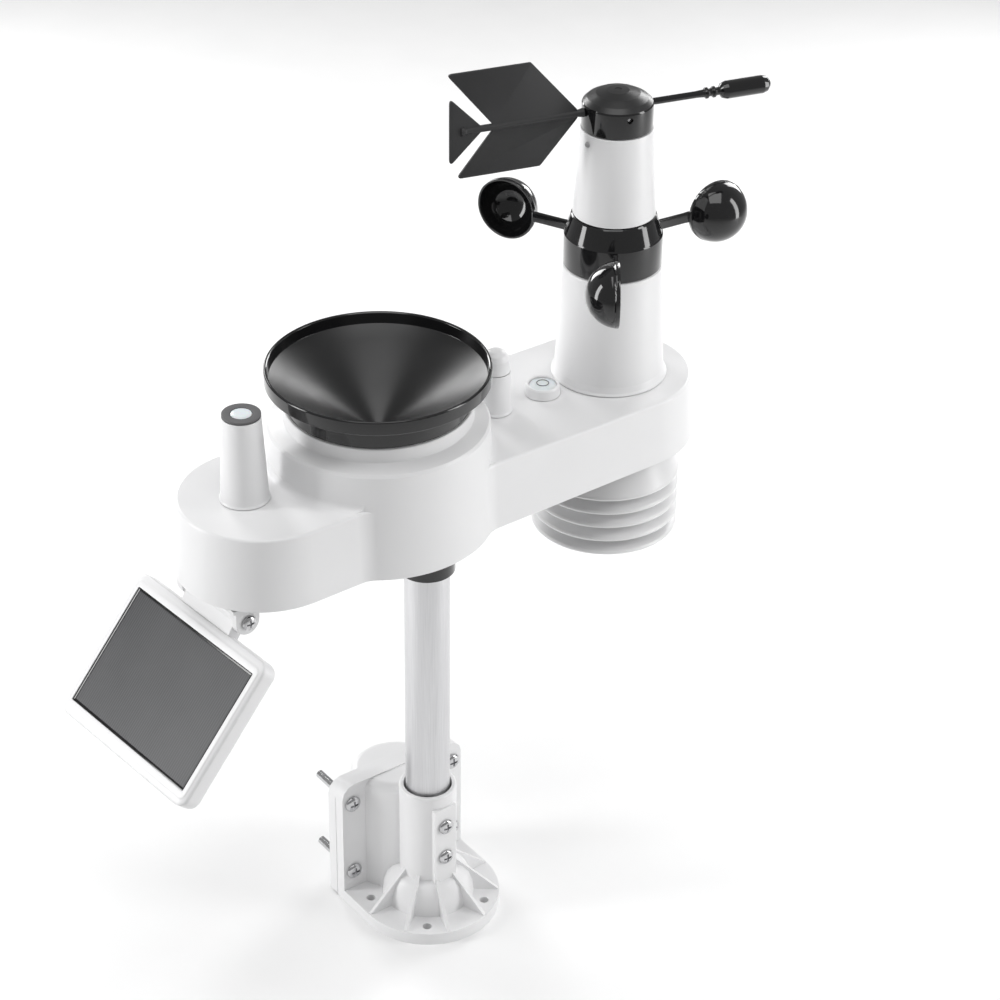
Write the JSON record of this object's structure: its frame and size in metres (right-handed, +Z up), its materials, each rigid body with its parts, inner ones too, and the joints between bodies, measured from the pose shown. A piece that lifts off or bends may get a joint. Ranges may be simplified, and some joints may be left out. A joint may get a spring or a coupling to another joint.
{
  "type": "outdoor weather sensor array",
  "caption": "Weather sensor array on a short pole: arm housing with rain funnel and light post, tower with wind cups and vane, louvred shield, tilting solar panel, foot with mast clamp.",
  "frame": {"origin": "on the pole's axis at the underside of the foot", "axes": "+Z up along the pole, +X along the housing's arm from the pole to the wind tower, -Y the front, where the pole's two socket screws are; +Y the side of the mast clamp"},
  "size_m": [0.4193, 0.15, 0.5205],
  "materials": {
    "white_abs": "satin white",
    "gloss_black": "high gloss black",
    "vane_black": "fine matt dark grey",
    "aluminium": "satin anodised",
    "steel": "bright zinc or stainless",
    "grey_plastic": "dark grey matt",
    "diffuser": "milky white",
    "clear_plastic": "clear polished",
    "solar_cell": "dark cell under clear cover, fine lines",
    "board": "green solder mask",
    "battery": "plain sleeve"
  },
  "bodies": {
    "foot": {"base_bracket": "white_abs", "mast_clamp": "white_abs", "clamp_bolt_1": "steel", "clamp_bolt_2": "steel", "clamp_bolt_3": "steel", "clamp_bolt_4": "steel", "socket_screw_1": "steel", "socket_screw_2": "steel"},
    "head": {"mast_pole": "aluminium", "pole_collar": "gloss_black", "collar_screw": "steel", "housing_shell": "white_abs", "underside_cover": "gloss_black", "circuit_board": "board", "battery_1": "battery", "battery_2": "battery", "light_post": "white_abs", "light_ring": "grey_plastic", "light_diffuser": "diffuser", "antenna_post": "white_abs", "antenna_cap": "white_abs", "level_cup": "white_abs", "level_vial": "clear_plastic", "tower_lower": "white_abs", "tower_spindle": "grey_plastic", "tower_upper": "white_abs", "tower_plug": "grey_plastic", "vane_bearing": "steel", "shield_top": "white_abs", "shield_ring_1": "white_abs", "shield_ring_2": "white_abs", "shield_ring_3": "white_abs", "shield_base": "white_abs", "shield_screw_1": "steel", "shield_screw_2": "steel", "thermo_hygro_sensor": "grey_plastic", "bucket_cradle": "white_abs", "bucket_pin": "steel", "panel_bracket": "white_abs", "hinge_screw_1": "steel", "hinge_screw_2": "steel"},
    "cup_rotor": {"rotor_hub": "gloss_black", "rotor_bearing_1": "steel", "rotor_bearing_2": "steel", "wind_cup_1": "gloss_black", "wind_cup_2": "gloss_black", "wind_cup_3": "gloss_black"},
    "wind_vane": {"vane_cap": "gloss_black", "vane_shaft": "steel", "vane_tail": "vane_black", "vane_nose": "gloss_black", "vane_set_screw": "steel"},
    "solar_panel": {"panel_frame": "white_abs", "panel_back": "white_abs", "solar_cell": "solar_cell"},
    "rain_funnel": {"rain_funnel": "gloss_black"},
    "tipping_bucket": {"tipping_bucket": "grey_plastic"},
    "reset_button": {"reset_button": "grey_plastic"},
    "battery_door": {"battery_door": "gloss_black"}
  },
  "joints": [
    {"name": "pole_turn", "type": "hinge", "parent": "foot", "child": "head", "pos_m": [0, 0, 0.05], "axis": [0, 0, 1], "continuous": true},
    {"name": "cups_spin", "type": "hinge", "parent": "head", "child": "cup_rotor", "pos_m": [0.1257, 0, 0.4095], "axis": [0, 0, 1], "continuous": true},
    {"name": "vane_turn", "type": "hinge", "parent": "head", "child": "wind_vane", "pos_m": [0.1257, 0, 0.487], "axis": [0, 0, 1], "continuous": true},
    {"name": "panel_tilt", "type": "hinge", "parent": "head", "child": "solar_panel", "pos_m": [-0.1352, 0, 0.2705], "axis": [-0.0698, 0.9976, 0], "range_deg": [-40, 48]},
    {"name": "bucket_tip", "type": "hinge", "parent": "head", "child": "tipping_bucket", "pos_m": [-0.031, 0, 0.309], "axis": [0, 1, 0], "range_deg": [0, 34]},
    {"name": "funnel_lift", "type": "slide", "parent": "head", "child": "rain_funnel", "axis": [0, 0, 1], "range_m": [0, 0.06]},
    {"name": "button_press", "type": "slide", "parent": "head", "child": "reset_button", "axis": [0, 0, 1], "range_m": [0, 0.001], "stiffness_N_per_m": 600, "springref_m": -0.0008},
    {"name": "door_drop", "type": "slide", "parent": "head", "child": "battery_door", "axis": [0, 0, -1], "range_m": [0, 0.03]}
  ]
}
